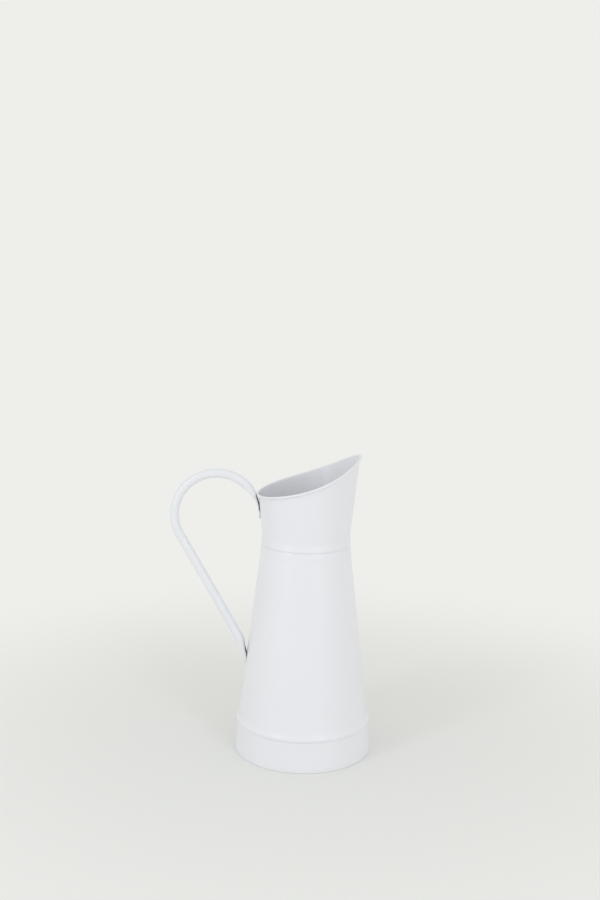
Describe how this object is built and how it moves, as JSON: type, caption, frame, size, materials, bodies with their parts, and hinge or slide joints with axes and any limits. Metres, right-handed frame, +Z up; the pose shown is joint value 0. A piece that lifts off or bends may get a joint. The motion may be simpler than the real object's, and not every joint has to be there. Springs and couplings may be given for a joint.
{
  "type": "pitcher",
  "caption": "Tall tapered sheet-metal pitcher, coated white, with a flared collar, a swept rim that rises to a pouring lip and a looped tube handle.",
  "frame": {"origin": "on the resting plane, at the axis that the foot, body and collar are turned about", "axes": "+Z up along the pitcher's axis, +X towards the pouring lip, handle towards -X"},
  "size_m": [0.2021, 0.1364, 0.2999],
  "materials": {
    "white_coat": "smooth white coat with a soft gloss on sheet steel",
    "bare_steel": "plain mild steel",
    "seam_sealant": "dull set sealing compound"
  },
  "bodies": {
    "root": {"foot_band": "white_coat", "bottom_disc": "white_coat", "bottom_seal": "seam_sealant", "body_cone": "white_coat", "foot_seal": "seam_sealant", "collar": "white_coat", "neck_seal": "seam_sealant", "rim_wire": "bare_steel", "handle_tube": "white_coat", "upper_welds": "bare_steel", "lower_welds": "bare_steel"}
  },
  "joints": []
}
